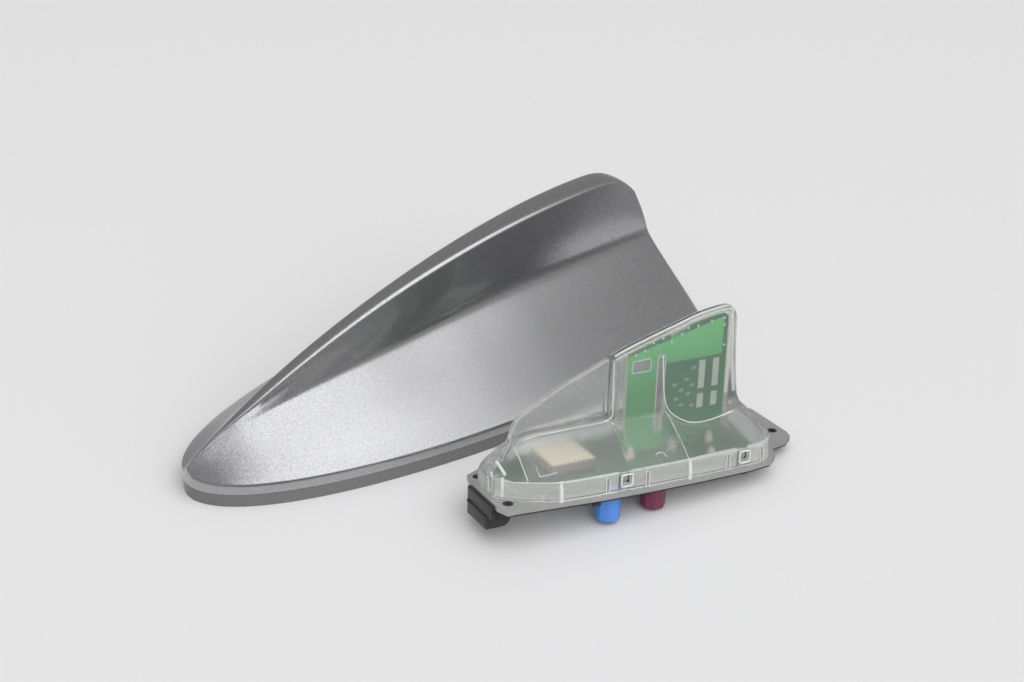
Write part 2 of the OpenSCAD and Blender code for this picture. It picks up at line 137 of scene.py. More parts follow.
def loftShell(outer, inner):
    # two lofts joined round the open rim into one closed wall
    bm = bmesh.new()
    skins = [loftSurface(bm, outer), loftSurface(bm, inner)]
    for end in (0, -1):
        rims = [[chain[0][end] for chain in skin] for skin in skins]
        edges = [bm.edges.get(pair) for rim in rims for pair in zip(rim, rim[1:])]
        bmesh.ops.bridge_loops(bm, edges=edges)
        ring = [skins[a][end][0][b] for a, b in ((0, 0), (0, -1), (1, -1), (1, 0))]
        bmesh.ops.contextual_create(bm, geom=ring)
    bmesh.ops.recalc_face_normals(bm, faces=bm.faces)
    return bm


def addBox(bm, low, high, bevel=0.0, matrix=None):
    made = bmesh.ops.create_cube(bm, size=1)["verts"]
    size = [b - a for a, b in zip(low, high)]
    middle = [(a + b) / 2 for a, b in zip(low, high)]
    bmesh.ops.scale(bm, vec=size, verts=made)
    bmesh.ops.translate(bm, vec=middle, verts=made)
    if matrix:
        bmesh.ops.transform(bm, matrix=matrix, verts=made)
    if bevel:
        edges = list({e for v in made for e in v.link_edges})
        bmesh.ops.bevel(bm, geom=edges, offset=bevel, segments=2, profile=0.5, material=-1,
                        affect="EDGES")
    return made


def throughPoints(points, parts):
    # an even curve through listed points
    rows = [Vector(p) for p in points]
    rows = [2 * rows[0] - rows[1]] + rows + [2 * rows[-1] - rows[-2]]
    out = []
    for a, b, c, d in zip(rows, rows[1:], rows[2:], rows[3:]):
        for k in range(parts):
            t = k / parts
            even = 2 * b + (c - a) * t
            bent = (2 * a - 5 * b + 4 * c - d) * t**2
            out.append(0.5 * (even + bent + (3 * b - a - 3 * c + d) * t**3))
    return out + [rows[-2]]


def mirrored(points):
    # the same row on the unit's far side
    return [Vector((p.x, -p.y, p.z)) for p in points]


def ringPath(corners, shares):
    # points along a closed outline, which a bead turns through with tight corners
    corners = [Vector(p) for p in corners]
    return [a.lerp(b, t) for a, b in zip(corners, corners[1:] + corners[:1]) for t in shares]


def addRing(bm, sides, radius, matrix):
    ring = bmesh.ops.create_circle(bm, segments=sides, radius=radius, matrix=matrix)["verts"]
    return list({e for v in ring for e in v.link_edges})


def bridgeRings(bm, rings, closed=False):
    # walls between the rings, and a cap on each open end
    for a, b in zip(rings, rings[1:] + rings[:1] if closed else rings[1:]):
        bmesh.ops.bridge_loops(bm, edges=a + b)
    if not closed:
        for ring in (rings[0], rings[-1]):
            bmesh.ops.contextual_create(bm, geom=ring)


def addTube(bm, points, radius, closed=False, sides=8):
    # a round bead along a row of points
    rings = []
    last = len(points) - 1
    for i, p in enumerate(points):
        ahead = points[0] if closed and i == last else points[min(i + 1, last)]
        behind = points[i - 1] if closed or i else p
        turn = (ahead - behind).to_track_quat("Z", "Y").to_matrix().to_4x4()
        rings.append(addRing(bm, sides, radius, Matrix.Translation(p) @ turn))
    bridgeRings(bm, rings, closed)


bevelValues = {"weld": 5e-5, "flatAngle": 0.02, "sharpAngle": 0.6, "segments": 3}


def bevelledCopy(nodeName, pieceName, material, width, v=bevelValues):
    # a CAD node again, with its edges rounded off
    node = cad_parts[nodeName]
    bm = bmesh.new()
    bm.from_mesh(node.data)
    bmesh.ops.transform(bm, matrix=node.matrix_world, verts=bm.verts)
    bmesh.ops.remove_doubles(bm, verts=bm.verts, dist=v["weld"])
    bmesh.ops.dissolve_limit(bm, angle_limit=v["flatAngle"], verts=bm.verts, edges=bm.edges)
    sharp = [e for e in bm.edges if len(e.link_faces) == 2 and e.calc_face_angle() > v["sharpAngle"]]
    bmesh.ops.bevel(bm, geom=sharp, offset=width, segments=v["segments"], profile=0.5, material=-1,
                    affect="EDGES", clamp_overlap=False)
    return finish(pieceName, bm, material, [nodeName], Matrix.Identity(4), smooth=40)


# Materials
def newMaterial(name, **values):
    material = bpy.data.materials.new(name)
    material.use_nodes = True
    shader = material.node_tree.nodes["Principled BSDF"]
    for key, value in values.items():
        shader.inputs[key.replace("_", " ")].default_value = value
    return material, material.node_tree, shader


def addNode(tree, kind, **values):
    node = tree.nodes.new(kind)
    for key, value in values.items():
        if hasattr(node, key):
            setattr(node, key, value)
        else:
            node.inputs[key.replace("_", " ")].default_value = value
    return node


def feed(tree, socket, part):
    # a socket takes a link or a plain value
    if isinstance(part, bpy.types.NodeSocket):
        tree.links.new(part, socket)
    else:
        socket.default_value = part


def maths(tree, operation, *parts, kind="ShaderNodeMath"):
    node = addNode(tree, kind, operation=operation)
    for socket, part in zip(node.inputs, parts):
        feed(tree, socket, part)
    return node.outputs["Value" if operation in ("DOT_PRODUCT", "LENGTH") else 0]


def vectorMaths(tree, operation, *parts):
    return maths(tree, operation, *parts, kind="ShaderNodeVectorMath")


def scaled(tree, vector, amount):
    node = addNode(tree, "ShaderNodeVectorMath", operation="SCALE")
    feed(tree, node.inputs[0], vector)
    feed(tree, node.inputs["Scale"], amount)
    return node.outputs[0]


def ramp(tree, value, start=0.0, end=1.0, low=0.0, high=1.0, curve="LINEAR"):
    node = addNode(tree, "ShaderNodeMapRange", interpolation_type=curve, From_Min=start, From_Max=end,
                   To_Min=low, To_Max=high)
    feed(tree, node.inputs["Value"], value)
    return node.outputs["Result"]


def mixColours(tree, factor, low, high):
    # each colour is a socket, or plain red, green and blue
    node = addNode(tree, "ShaderNodeMix", data_type="RGBA")
    feed(tree, node.inputs["Factor"], factor)
    for name, part in (("A", low), ("B", high)):
        feed(tree, node.inputs[name], (*part, 1) if isinstance(part, tuple) else part)
    return node.outputs["Result"]


def onObject(tree):
    return addNode(tree, "ShaderNodeTexCoord").outputs["Object"]


def onUnit(tree):
    # Object coordinates turned into the unit's own axes, in millimetres
    turned = addNode(tree, "ShaderNodeMapping", vector_type="TEXTURE")
    turned.inputs["Location"].default_value = unitPlace * 0.001
    turned.inputs["Rotation"].default_value = unitTurn
    turned.inputs["Scale"].default_value = (0.001, 0.001, 0.001)
    tree.links.new(onObject(tree), turned.inputs["Vector"])
    return turned.outputs["Vector"]


def facing(tree, direction, start, end):
    # a mask of the faces that look along one of the unit's axes
    surface = addNode(tree, "ShaderNodeNewGeometry").outputs["Normal"]
    along = vectorMaths(tree, "DOT_PRODUCT", surface, unitTurn.to_matrix() @ Vector(direction))
    return ramp(tree, maths(tree, "ABSOLUTE", along), start, end)


grainValues = {"fineScale": 2600.0, "fineDetail": 3.0, "broadScale": 120.0, "broadDetail": 4.0,
               "bumpDepth": 0.0002}


def buildGrainGroup(v):
    # uneven colour, roughness and height for moulded, cast and printed surfaces
    group = bpy.data.node_groups.new("surfaceGrain", "ShaderNodeTree")
    for name, kind, value in (("Colour", "NodeSocketColor", (0.5, 0.5, 0.5, 1)),
                              ("Scale", "NodeSocketFloat", 1.0), ("Mottle", "NodeSocketFloat", 0.1),
                              ("Roughness", "NodeSocketFloat", 0.5),
                              ("Roughness spread", "NodeSocketFloat", 0.1)):
        group.interface.new_socket(name, in_out="INPUT", socket_type=kind).default_value = value
    for name, kind in (("Colour", "NodeSocketColor"), ("Roughness", "NodeSocketFloat"),
                       ("Height", "NodeSocketFloat")):
        group.interface.new_socket(name, in_out="OUTPUT", socket_type=kind)
    start, end = addNode(group, "NodeGroupInput"), addNode(group, "NodeGroupOutput")
    fine = addNode(group, "ShaderNodeTexNoise", Scale=v["fineScale"], Detail=v["fineDetail"])
    broad = addNode(group, "ShaderNodeTexNoise", Scale=v["broadScale"], Detail=v["broadDetail"])
    where = scaled(group, onObject(group), start.outputs["Scale"])
    group.links.new(where, fine.inputs["Vector"])
    group.links.new(where, broad.inputs["Vector"])
    both = maths(group, "ADD", fine.outputs["Fac"], broad.outputs["Fac"])
    centred = maths(group, "SUBTRACT", both, 1.0)
    amount = maths(group, "MULTIPLY_ADD", centred, start.outputs["Mottle"], 1.0)
    rough = maths(group, "MULTIPLY_ADD", centred, start.outputs["Roughness spread"],
                  start.outputs["Roughness"])
    group.links.new(scaled(group, start.outputs["Colour"], amount), end.inputs["Colour"])
    group.links.new(rough, end.inputs["Roughness"])
    group.links.new(fine.outputs["Fac"], end.inputs["Height"])
    return group


grainGroup = buildGrainGroup(grainValues)


def grainyMaterial(name, colour, scale=0.5, mottle=0.12, roughness=0.5, spread=0.15, bump=0.1, **values):
    material, tree, shader = newMaterial(name, **values)
    grain = addNode(tree, "ShaderNodeGroup", node_tree=grainGroup)
    for key, value in (("Colour", (*colour, 1)), ("Scale", scale), ("Mottle", mottle),
                       ("Roughness", roughness), ("Roughness spread", spread)):
        grain.inputs[key].default_value = value
    tree.links.new(grain.outputs["Colour"], shader.inputs["Base Color"])
    tree.links.new(grain.outputs["Roughness"], shader.inputs["Roughness"])
    raised = addNode(tree, "ShaderNodeBump", Strength=bump, Distance=grainValues["bumpDepth"])
    tree.links.new(grain.outputs["Height"], raised.inputs["Height"])
    tree.links.new(raised.outputs["Normal"], shader.inputs["Normal"])
    return material, tree, grain


def plainFinish(name, colour, **values):
    return grainyMaterial(name, colour, **values)[0]


# the last three values colour the set-back rim dark: painted shadow under the cover's lip
paintValues = {"dark": (0.33, 0.333, 0.342), "light": (0.47, 0.47, 0.48), "roughness": (0.15, 0.27),
               "metal": 0.9, "coat": 0.9, "flakeScale": 4000.0, "flakeTurn": 0.04,
               "bare": (0.17, 0.17, 0.172), "rimShadeTop": 0.0045, "rimShadeBlend": 0.0001}


def buildPaint(v):
    # each flake has its own shade and lies a little out of true
    material, tree, shader = newMaterial("greyMetallicLacquer", Coat_Roughness=0.04, Coat_IOR=1.5)
    link = tree.links.new
    where = onObject(tree)
    flakes = addNode(tree, "ShaderNodeTexVoronoi", feature="F1", Scale=v["flakeScale"])
    link(where, flakes.inputs["Vector"])
    shade = addNode(tree, "ShaderNodeSeparateColor")
    link(flakes.outputs["Color"], shade.inputs["Color"])
    # the set-back rim is coloured dark grey with no metal or coat: painted shadow, where the cover's shadow
    # lies under its lip
    apart = addNode(tree, "ShaderNodeSeparateXYZ")
    link(where, apart.inputs[0])
    painted = ramp(tree, apart.outputs["Z"], v["rimShadeTop"] - v["rimShadeBlend"], v["rimShadeTop"])
    lacquer = mixColours(tree, shade.outputs["Red"], v["dark"], v["light"])
    link(mixColours(tree, painted, v["bare"], lacquer), shader.inputs["Base Color"])
    link(maths(tree, "MULTIPLY", painted, v["metal"]), shader.inputs["Metallic"])
    link(maths(tree, "MULTIPLY", painted, v["coat"]), shader.inputs["Coat Weight"])
    smooth, rough = v["roughness"]
    link(ramp(tree, shade.outputs["Green"], low=smooth, high=rough), shader.inputs["Roughness"])
    turn, middle = [v["flakeTurn"]] * 3, [-v["flakeTurn"] / 2] * 3
    lean = vectorMaths(tree, "MULTIPLY_ADD", flakes.outputs["Color"], turn, middle)
    surface = addNode(tree, "ShaderNodeNewGeometry").outputs["Normal"]
    level = vectorMaths(tree, "NORMALIZE", vectorMaths(tree, "ADD", surface, lean))
    link(level, shader.inputs["Normal"])
    return material


paint = buildPaint(paintValues)

clearValues = {"colour": (0.96, 0.975, 0.965, 1), "roughness": (0.18, 0.32), "clear": 0.95}
# the edge and milky plastics are whiter and less clear than the cover: on beads, bands and rims they paint
# highlight along real corners
edgeValues = {"colour": (0.98, 0.985, 0.975, 1), "roughness": (0.14, 0.28), "clear": 0.75}
milkValues = {"colour": (0.88, 0.885, 0.85, 1), "roughness": (0.16, 0.30), "clear": 0.4}
plasticValues = {"refraction": 1.42, "hazeScale": 90.0, "hazeDetail": 3.0, "shadow": 0.15}  # for all three


def buildClear(name, values, v=plasticValues):
    material, tree, shader = newMaterial(name, Transmission_Weight=values["clear"], IOR=v["refraction"],
                                         Base_Color=values["colour"])
    haze = addNode(tree, "ShaderNodeTexNoise", Scale=v["hazeScale"], Detail=v["hazeDetail"])
    tree.links.new(onObject(tree), haze.inputs["Vector"])
    smooth, rough = values["roughness"]
    tree.links.new(ramp(tree, haze.outputs["Fac"], low=smooth, high=rough), shader.inputs["Roughness"])
    # shadows stay light behind it
    path = addNode(tree, "ShaderNodeLightPath")
    solid = ramp(tree, path.outputs["Is Shadow Ray"], low=1.0, high=v["shadow"])
    tree.links.new(solid, shader.inputs["Alpha"])
    return material


clearPlastic = buildClear("clearMouldedPlastic", clearValues)
clearEdge = buildClear("clearPlasticEdge", edgeValues)
milkyEdge = buildClear("milkyPlasticEdge", milkValues)

plateMetal = plainFinish("dullCastPlate", (0.44, 0.445, 0.435), scale=0.7, mottle=0.2, roughness=0.42,
                         spread=0.2, bump=0.15, Metallic=0.45)
blackRubber = plainFinish("blackRubber", (0.028, 0.028, 0.03), scale=0.6, mottle=0.3, roughness=0.7,
                          bump=0.3)
blackPlastic = plainFinish("blackMouldedPlastic", (0.022, 0.022, 0.024), mottle=0.25, roughness=0.38,
                           bump=0.2)
printedLayer = plainFinish("beigePrintedLayer", (0.62, 0.56, 0.43), scale=0.6, mottle=0.14, spread=0.1,
                           bump=0.2)
tinned = plainFinish("tinnedContact", (0.75, 0.76, 0.74), roughness=0.38, bump=0.15, Metallic=0.3)
chipGrey = plainFinish("smallParts", (0.22, 0.33, 0.23), scale=0.6, mottle=0.4, spread=0.1)
bluePlastic = plainFinish("bluePlugPlastic", (0.09, 0.28, 0.80), roughness=0.36, spread=0.1, bump=0.12)
redPlastic = plainFinish("darkRedPlugPlastic", (0.19, 0.03, 0.075), roughness=0.36, spread=0.1, bump=0.12)
tinnedDull = plainFinish("dullTinnedBars", (0.50, 0.58, 0.51), mottle=0.2, roughness=0.45, bump=0.15,
                         Metallic=0.2)
goldPlate = plainFinish("goldPlatedContact", (0.78, 0.60, 0.28), mottle=0.1, roughness=0.3, spread=0.1,
                        bump=0.08, Metallic=1.0)
whiteInsulator = plainFinish("whiteInsulator", (0.80, 0.80, 0.77), mottle=0.06, roughness=0.45, spread=0.1,
                             bump=0.08)
solderDull = plainFinish("dullSolder", (0.55, 0.48, 0.40), mottle=0.2, roughness=0.45, bump=0.15,
                         Metallic=0.2)

ceramicValues = {"top": (0.60, 0.53, 0.38), "side": (0.16, 0.13, 0.11), "turn": (0.6, 0.8)}


def buildCeramic(v):
    # pale on top, dark round its sides
    material, tree, grain = grainyMaterial("beigeCeramic", v["top"], mottle=0.2, roughness=0.6, spread=0.1,
                                           bump=0.2)
    top = facing(tree, (0, 0, 1), *v["turn"])
    tree.links.new(mixColours(tree, top, v["side"], v["top"]), grain.inputs["Colour"])
    return material


ceramic = buildCeramic(ceramicValues)

# Each pair gives where a bright area begins and where it is full, in millimetres on the unit's axes
copperPlaces = {"stripEnd": (57.2, 56.8), "upperFrom": (30.8, 31.2), "upperEnd": (77.2, 76.8),
                "topSlope": -0.24, "topEnd": (24.9, 24.5), "footEnd": (3.2, 3.4), "paleOver": (20, 42),
                "lowShade": 0.72, "highShade": 1.3, "highLift": 0.03, "cutFaces": (0.5, 0.7)}
boardValues = {"copper": (0.085, 0.40, 0.13), "bare": (0.035, 0.155, 0.07), "edge": (0.58, 0.63, 0.50)}
# the main board takes the fin board's colours at about half brightness: painted shade
shadedBoardValues = {"copper": (0.035, 0.14, 0.055), "bare": (0.016, 0.07, 0.03), "edge": (0.3, 0.3, 0.2)}


def buildBoard(name, values, v=copperPlaces):
    # bright where copper lies under the green lacquer, dark where it is etched away
    material, tree, grain = grainyMaterial(name, values["copper"], mottle=0.1, roughness=0.34, spread=0.1,
                                           bump=0.06)
    apart = addNode(tree, "ShaderNodeSeparateXYZ")
    tree.links.new(onUnit(tree), apart.inputs[0])
    x, z = apart.outputs["X"], apart.outputs["Z"]

    def edge(socket, ends):
        return ramp(tree, socket, *ends, curve="SMOOTHSTEP")

    upper = maths(tree, "MULTIPLY", edge(z, v["upperFrom"]), edge(x, v["upperEnd"]))
    mask = maths(tree, "MAXIMUM", edge(x, v["stripEnd"]), upper)
    # the sloping top edge and the main board stay dark
    slope = maths(tree, "MULTIPLY_ADD", x, v["topSlope"], z)
    mask = maths(tree, "MULTIPLY", mask, edge(slope, v["topEnd"]))
    mask = maths(tree, "MULTIPLY", mask, edge(z, v["footEnd"]))
    # the copper shows paler toward the top
    low = tuple(c * v["lowShade"] for c in values["copper"])
    high = tuple(c * v["highShade"] + v["highLift"] for c in values["copper"])
    colour = mixColours(tree, mask, values["bare"], mixColours(tree, edge(z, v["paleOver"]), low, high))
    # cut edges show the bare laminate
    cut = mixColours(tree, facing(tree, (1, 0, 0), *v["cutFaces"]), colour, values["edge"])
    tree.links.new(cut, grain.inputs["Colour"])
    return material


boardGreen = buildBoard("greenCircuitBoard", boardValues)
boardShaded = buildBoard("shadedGreenCircuitBoard", shadedBoardValues)
print("stage: materials made")

cadFinish = {"base_plate": plateMetal, "seal_frame": blackRubber, "front_hook": blackPlastic,
             "main_board": boardShaded, "fin_board": boardGreen, "patch_pad": blackRubber,
             "gps_patch": ceramic, "patch_electrode": printedLayer, "fin_bars": tinnedDull,
             "fin_chips": chipGrey, "solder_joints": solderDull}
for plug, plastic in (("blue", bluePlastic), ("red", redPlastic)):
    cadFinish[plug + "_housing"] = plastic
    cadFinish[plug + "_sleeve"] = cadFinish[plug + "_pin"] = goldPlate
    cadFinish[plug + "_insulator"] = whiteInsulator
for nodeName, material in cadFinish.items():
    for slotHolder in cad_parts[nodeName].material_slots:
        slotHolder.material = material
print("stage: CAD pieces finished")

# Painted cover
coverValues = {"length": 191.6, "width": 85.0, "height": 57.9, "wall": 2.0, "lip": 7.7, "rim": 4.4,
               "rimInset": 0.4, "rimStep": 0.1, "widest": 148.0, "peak": 161.0, "ridge": 10.2, "tail": 51.0,
               "tailPower": 2.2, "rake": 12.0, "drop": 7.8, "flankHeight": 33.4, "flankWidth": 13.6,
               "flankCurve": 1.16, "flankSwell": 0.7, "middle": 32.7, "edge": 1.3, "keelStart": 0.5,
               "keelPower": 1.75, "keelSpread": 0.8, "noseRise": 1.8, "noseReach": 24.0, "crownRise": 1.6,
               "crownCurve": 0.87, "creaseRadius": 4.0, "creaseShare": 0.28, "creaseCap": 0.87,
               "ridgeShare": 0.8, "lipRadius": 0.9, "lipLean": 0.15, "leanFrom": 0.62, "crownParts": 8,
               "flankParts": 5, "cornerPoints": 7}
flankLine = [(0, 0.2), (6, 0.33), (14, 0.44), (20, 0.486), (26, 0.542), (32, 0.593), (45, 0.682),
             (60, 0.76), (80, 0.833), (100, 0.91), (125, 0.968), (160, 0.99), (194, 1)]
flankTaper = [(0, 0.08), (8, 0.17), (14, 0.3), (20, 0.46), (26, 0.62), (32, 0.74), (45, 0.9), (60, 1)]
ridgeLine = [(0, 0.05), (8, 0.1), (14, 0.17), (20, 0.3), (26, 0.4), (32, 0.465), (45, 0.54), (60, 0.6),
             (80, 0.69), (100, 0.8), (120, 0.895), (140, 0.97), (158, 1)]


def coverHalfWidth(s, v=coverValues):
    if s <= v["widest"]:
        return v["width"] / 2 * math.sqrt(max(0, 1 - (1 - s / v["widest"]) ** 2))
    k = (s - v["widest"]) / (v["length"] - v["widest"])
    kept = max(0, 1 - k ** v["tailPower"]) ** (1 / v["tailPower"])
    return v["tail"] / 2 + (v["width"] - v["tail"]) / 2 * kept


def coverRidge(s, v=coverValues):
    if s <= v["peak"]:
        rise = (1 - max(0, 1 - s / v["peak"]) ** v["keelPower"]) ** v["keelSpread"]
        nose = v["noseRise"] * max(0, 1 - s / v["noseReach"]) ** 1.5
        return v["lip"] + v["keelStart"] + (v["height"] - v["lip"] - v["keelStart"]) * rise + nose
    return v["height"] - v["drop"] * ((s - v["peak"]) / (v["length"] - v["rake"] - v["peak"])) ** 3


def coverLean(b, v=coverValues):
    # toward its tail the cover leans forward, in the end by the rake
    return v["rake"] * ease((b / v["length"] - v["leanFrom"]) / (1 - v["leanFrom"]))


def coverSection(b, inner, inset, v=coverValues):
    # the outline from the near rim over the ridge; an inset at the last stations rounds the tail's edge
    wall = v["wall"] if inner else 0
    wide, crest = coverHalfWidth(b), coverRidge(b - coverLean(b))
    creaseOut = min(v["flankWidth"] / 2 * follow(flankTaper, b), v["creaseShare"] * wide)
    flank = v["lip"] + (v["flankHeight"] - v["lip"]) * follow(flankLine, b)
    creaseUp = min(flank, v["lip"] + v["creaseCap"] * (crest - v["lip"]))
    ridgeOut = min(v["ridge"] / 2 * follow(ridgeLine, b), v["ridgeShare"] * creaseOut)
    top = max(crest - wall, 0.6 * crest)
    lip, rim = v["lip"] - 0.5 * wall, v["rim"] - 0.5 * wall
    if inner:
        # the wall thins where the cover is too narrow or too low for all of it
        creaseUp = min(creaseUp - 0.5 * wall, v["lip"] + 0.8 * (top - v["lip"]))
        wide, creaseOut = max(wide - wall, 0.3 * wide), max(creaseOut - wall, 0.3 * creaseOut)
        ridgeOut = max(ridgeOut - wall, 0.25 * ridgeOut)
    wide, top = wide - inset, top - inset
    creaseOut, ridgeOut = max(creaseOut - inset, 0.1), max(ridgeOut - inset, 0.1)
    low = wide - v["rimInset"]
    path = [(low, 0), (low, rim), (wide, rim + v["rimStep"]), (wide - v["lipLean"], lip)]
    radii = [0, 0.15, 0.12, v["lipRadius"]]
    for i in range(1, v["flankParts"]):
        k = i / v["flankParts"]
        across = creaseOut + (wide - creaseOut) * (1 - k) ** v["flankCurve"]
        path.append((across, lip + (creaseUp - lip) * k))
        radii.append(0)
    path.append((creaseOut, creaseUp))
    radii.append(v["creaseRadius"])
    crown = min(v["crownRise"], 0.4 * (top - creaseUp))
    swell = v["flankSwell"] * min(1, (top - creaseUp) / 20)
    for k in (0.35, 0.65):
        path.append((mix(creaseOut, ridgeOut, k) + 4 * swell * k * (1 - k), mix(creaseUp, top - crown, k)))
        radii.append(0)
    for k in range(v["crownParts"] + 1):
        a = k / v["crownParts"] * math.pi / 2
        across, up = max(0, math.cos(a)) ** v["crownCurve"], math.sin(a) ** v["crownCurve"]
        path.append((ridgeOut * across, top - crown + crown * up))
        radii.append(0)
    half = soften(path, radii, v["cornerPoints"])
    # the inner skin starts 1.3 walls behind the nose and ends one wall before the tail
    start = 1.3 * wall + b * (1 - 2.3 * wall / v["length"]) if inner else b
    out = []
    for sign, row in ((1, half), (-1, half[-2::-1])):
        for p in row:
            x = start - coverLean(b) * (max(p.y, 0) / crest) ** 1.5 - v["length"] / 2
            out.append(Vector((x, v["middle"] - sign * p.x, p.y)))
    return out


def buildFinCover(v=coverValues):
    last = v["length"]
    nose, middle, tail = 0.46, 0.32, 0.22  # shares of the length, with closer stations at both ends
    steps = [0.1 + nose * last * (i / 30) ** 2 for i in range(31)]
    steps += [last * (nose + middle * i / 18) for i in range(1, 19)]
    steps += [last * (nose + middle) + (last * tail - v["edge"]) * i / 30 for i in range(1, 31)]
    insets = [0.0] * len(steps)
    for k in range(1, 6):
        a = k / 5 * math.pi / 2
        steps.append(last - v["edge"] * (1 - math.sin(a)))
        insets.append(v["edge"] * (1 - math.cos(a)))
    outer = [coverSection(b, False, i) for b, i in zip(steps, insets)]
    inner = [coverSection(b, True, 0) for b in steps]
    bm = loftShell(outer, inner)
    return finish("finCoverPainted", bm, paint, ["fin_cover"], smooth=40)


finCover = buildFinCover()
print("stage: painted cover made", len(finCover.data.polygons))

# Clear inner cover, drawn on the unit's plate
clearShape = {"halfWidth": 17.8, "wall": 1.4, "skirt": 7.4, "dome": 16.5, "lowDome": 10.5, "fin": 6.4,
              "finTop": 46.3, "finFrom": 38, "finTo": 81.5, "web": 1.8, "webTo": 37.5, "pocket": 0.7,
              "pocketFrom": 54.6, "lowFrom": 55, "lowTo": 85, "tailFrom": 83, "tailSpread": 0.6,
              "window": 3.2, "windowLow": 2.1, "windowHigh": 5.1, "windows": (35.5, 76.5), "slit": 0.8,
              "slitTop": 5, "slits": (29.3, 42.5, 70.6, 83.4), "cutReach": 2, "rearDrop": 0.6,
              "rearReach": 6.2, "shoulder": 0.9, "cornerPoints": 5}
skirtLine = [(-3, 0.23), (-1.4, 0.33), (0, 0.405), (1, 0.445), (2.4, 0.54), (5.2, 0.63), (9, 0.73),
             (11.6, 0.8), (14.3, 0.86), (20, 0.9), (28, 0.93), (43, 0.97), (60, 1), (76, 1), (83, 0.97),
             (86, 0.9), (88.4, 0.76), (90, 0.62), (91.2, 0.48)]
ledgeLine = [(-3, 0.38), (0, 0.46), (3, 0.6), (6, 0.86), (9, 0.97), (13, 1), (50, 1)]
lowLine = [(55, 1), (57, 0.94), (59.5, 0.55), (62.5, 0.22), (66.6, 0.02), (72, 0), (78.5, 0.03),
           (82, 0.22), (85, 0.3)]
crestLine = [(-3, 0.142), (0, 0.2), (4.2, 0.275), (5, 0.36), (5.8, 0.425), (6.8, 0.468), (10.8, 0.515),
             (14.7, 0.558), (20, 0.62), (27.1, 0.683), (37.5, 0.77), (39.2, 0.778), (42.9, 0.808),
             (48.9, 0.85), (56.4, 0.898), (62, 0.932), (66.8, 0.964), (72, 0.986), (76, 0.997), (78.6, 1),
             (79.8, 0.993), (80.5, 0.975), (80.9, 0.94), (81.1, 0.84), (81.9, 0.587), (83.1, 0.38),
             (84.2, 0.325), (85.7, 0.288), (87.6, 0.25), (89.2, 0.2), (90.4, 0.167), (91.2, 0.148)]


def skirtHalf(s):
    return clearShape["halfWidth"] * follow(skirtLine, s)


def ledgeHeight(s, v=clearShape):
    if s <= v["lowFrom"]:
        return v["dome"] * follow(ledgeLine, s)
    low = v["lowDome"] + (v["dome"] - v["lowDome"]) * follow(lowLine, s)
    if s <= v["lowTo"]:
        return low
    return mix(low, v["skirt"] - v["rearDrop"], ease((s - v["lowTo"]) / v["rearReach"]))


def clearSection(s, inner, v=clearShape):
    # skirt, shoulder and ledge, and above them the web or the fin where one stands
    wall = v["wall"] if inner else 0
    wide, ledge = skirtHalf(s), ledgeHeight(s)
    crest = max(v["finTop"] * follow(crestLine, s), ledge + 0.2)
    finHere, webHere = v["finFrom"] < s < v["finTo"], s < v["webTo"]
    foot = v["fin"] / 2 - v["pocket"] * ease((s - v["pocketFrom"]) / 0.8)
    head = 0.33 * v["fin"]
    if webHere:
        foot = head = v["web"] / 2
    if s > v["tailFrom"]:
        foot += v["tailSpread"] * (s - v["tailFrom"])
    foot = min(foot, 0.45 * wide)
    head = min(head, foot)
    skirt = min(v["skirt"] - 1.1, ledge - 0.6)
    ledgeOut = min(foot + 1.6, 0.6 * wide)
    if inner:
        wide, skirt, ledge = wide - wall, skirt - 0.55 * wall, ledge - wall
        ledgeOut = max(ledgeOut - 0.6 * wall, 0.6)
        foot = foot - 0.8 * wall if finHere else 0.5 * min(foot, ledgeOut)
        head = head - 0.75 * wall if finHere else 0.2
        crest = crest - 1.2 if finHere else ledge + 0.2
    rise = crest - ledge
    path = [(wide, 0), (wide, skirt)]
    radii = [0, v["shoulder"]]
    for k in (0.25, 0.5, 0.75):
        path.append((mix(wide, ledgeOut, k), mix(skirt, ledge - 0.25, k + 0.18 * k * (1 - k))))
        radii.append(0)
    path += [(ledgeOut, ledge - 0.25), (mix(foot, ledgeOut, 0.15), ledge), (foot, ledge + 0.12 * rise),
             (mix(head, foot, 0.5), ledge + 0.5 * rise), (head, crest - min(0.3, 0.2 * rise)), (0, crest)]
    radii += [1.2, 0.8, 0.8, 0, 0.9, 0]
    half = soften(path, radii, v["cornerPoints"])
    x = s
    if inner:
        # the inner skin stands one wall inside the nose and both ends of the fin
        if s < 20:
            x = s + wall * (1 - ease((s + 3) / 23))
        elif s > 82:
            x = s - wall
        elif v["webTo"] < s < 41:
            x = s + wall
        elif s > 76:
            x = s - wall * (s - 76) / 6
    return [Vector((x, -p.x, p.y)) for p in half] + [Vector((x, p.x, p.y)) for p in half[-2::-1]]


